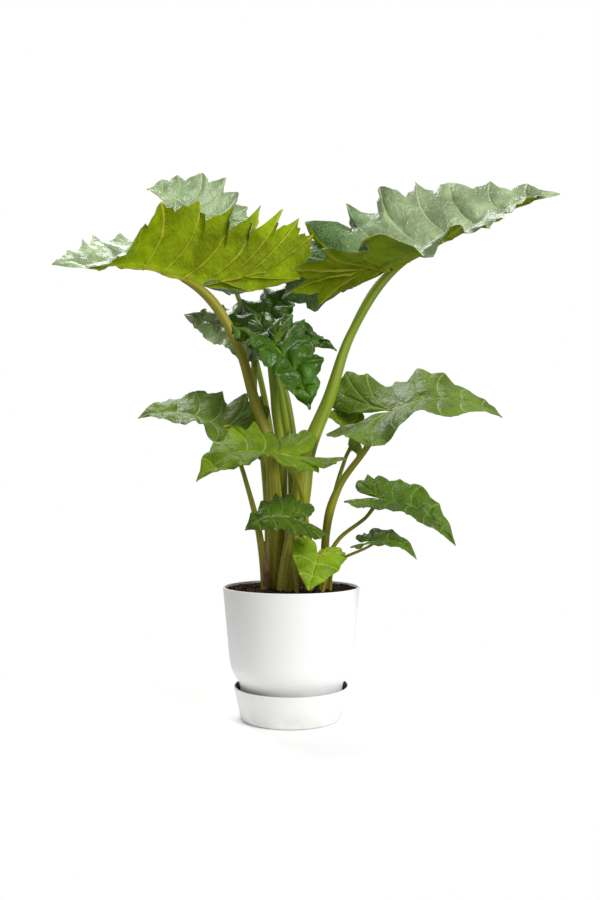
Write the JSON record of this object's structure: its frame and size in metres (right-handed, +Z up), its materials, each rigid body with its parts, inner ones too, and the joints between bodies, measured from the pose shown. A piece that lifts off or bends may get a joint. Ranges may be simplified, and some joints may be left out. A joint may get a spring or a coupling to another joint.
{
  "type": "potted alocasia",
  "caption": "Potted alocasia: large toothed arrow-shaped leaves on long stalks rise from a rootstock and soil in a round tapered planter that stands in a deep saucer.",
  "frame": {"origin": "centre of the saucer's flat underside, on the surface that it stands on", "axes": "+Z up along the planter's axis, -Y towards the side that the plant faces, +X towards its right-hand high leaf"},
  "size_m": [1.0574, 0.5117, 1.2424],
  "materials": {
    "pot": "smooth matte white, slightly soft edges",
    "saucer": "smooth matte white",
    "soil": "dark crumbly potting soil",
    "rootstock": "rough fibrous brown",
    "dry_sheath": "dry papery brown",
    "stalk_left_high": "waxy olive-green stalk, browner at its foot",
    "stalk_right_high": "waxy olive-green stalk, browner at its foot",
    "stalk_centre_front": "waxy olive-green stalk, browner at its foot",
    "stalk_centre_right": "waxy olive-green stalk, browner at its foot",
    "stalk_centre_back": "waxy olive-green stalk, browner at its foot",
    "stalk_back_left": "waxy olive-green stalk, browner at its foot",
    "stalk_top_back": "waxy olive-green stalk, browner at its foot",
    "stalk_left_mid": "waxy olive-green stalk, browner at its foot",
    "stalk_front_mid": "waxy olive-green stalk, browner at its foot",
    "stalk_right_mid": "waxy olive-green stalk, browner at its foot",
    "stalk_right_inner": "waxy olive-green stalk, browner at its foot",
    "stalk_front_low": "waxy olive-green stalk, browner at its foot",
    "stalk_front_lowest": "waxy olive-green stalk, browner at its foot",
    "stalk_right_low": "waxy olive-green stalk, browner at its foot",
    "stalk_right_lowest": "waxy olive-green stalk, browner at its foot",
    "blade_left_high": "waxy leaf, satin above and yellower green below",
    "blade_right_high": "waxy leaf, satin above and yellower green below",
    "blade_top_back": "waxy leaf, satin above and yellower green below",
    "blade_centre_front": "waxy leaf, satin above and yellower green below",
    "blade_centre_right": "waxy leaf, satin above and yellower green below",
    "blade_centre_back": "waxy leaf, satin above and yellower green below",
    "blade_back_left": "waxy leaf, satin above and yellower green below",
    "blade_left_mid": "waxy leaf, satin above and yellower green below",
    "blade_front_mid": "waxy leaf, satin above and yellower green below",
    "blade_right_mid": "waxy leaf, satin above and yellower green below",
    "blade_right_inner": "waxy leaf, satin above and yellower green below",
    "blade_front_low": "waxy leaf, satin above and yellower green below",
    "blade_front_lowest": "waxy leaf, satin above and yellower green below",
    "blade_right_low": "waxy leaf, satin above and yellower green below",
    "blade_right_lowest": "waxy leaf, satin above and yellower green below"
  },
  "bodies": {
    "root": {"pot": "pot", "saucer": "saucer", "soil": "soil", "rootstock": "rootstock", "dry_sheath": "dry_sheath", "stalk_left_high": "stalk_left_high", "stalk_right_high": "stalk_right_high", "stalk_centre_front": "stalk_centre_front", "stalk_centre_right": "stalk_centre_right", "stalk_centre_back": "stalk_centre_back", "stalk_back_left": "stalk_back_left", "stalk_top_back": "stalk_top_back", "stalk_left_mid": "stalk_left_mid", "stalk_front_mid": "stalk_front_mid", "stalk_right_mid": "stalk_right_mid", "stalk_right_inner": "stalk_right_inner", "stalk_front_low": "stalk_front_low", "stalk_front_lowest": "stalk_front_lowest", "stalk_right_low": "stalk_right_low", "stalk_right_lowest": "stalk_right_lowest", "blade_left_high": "blade_left_high", "blade_right_high": "blade_right_high", "blade_top_back": "blade_top_back", "blade_centre_front": "blade_centre_front", "blade_centre_right": "blade_centre_right", "blade_centre_back": "blade_centre_back", "blade_back_left": "blade_back_left", "blade_left_mid": "blade_left_mid", "blade_front_mid": "blade_front_mid", "blade_right_mid": "blade_right_mid", "blade_right_inner": "blade_right_inner", "blade_front_low": "blade_front_low", "blade_front_lowest": "blade_front_lowest", "blade_right_low": "blade_right_low", "blade_right_lowest": "blade_right_lowest"}
  },
  "joints": []
}
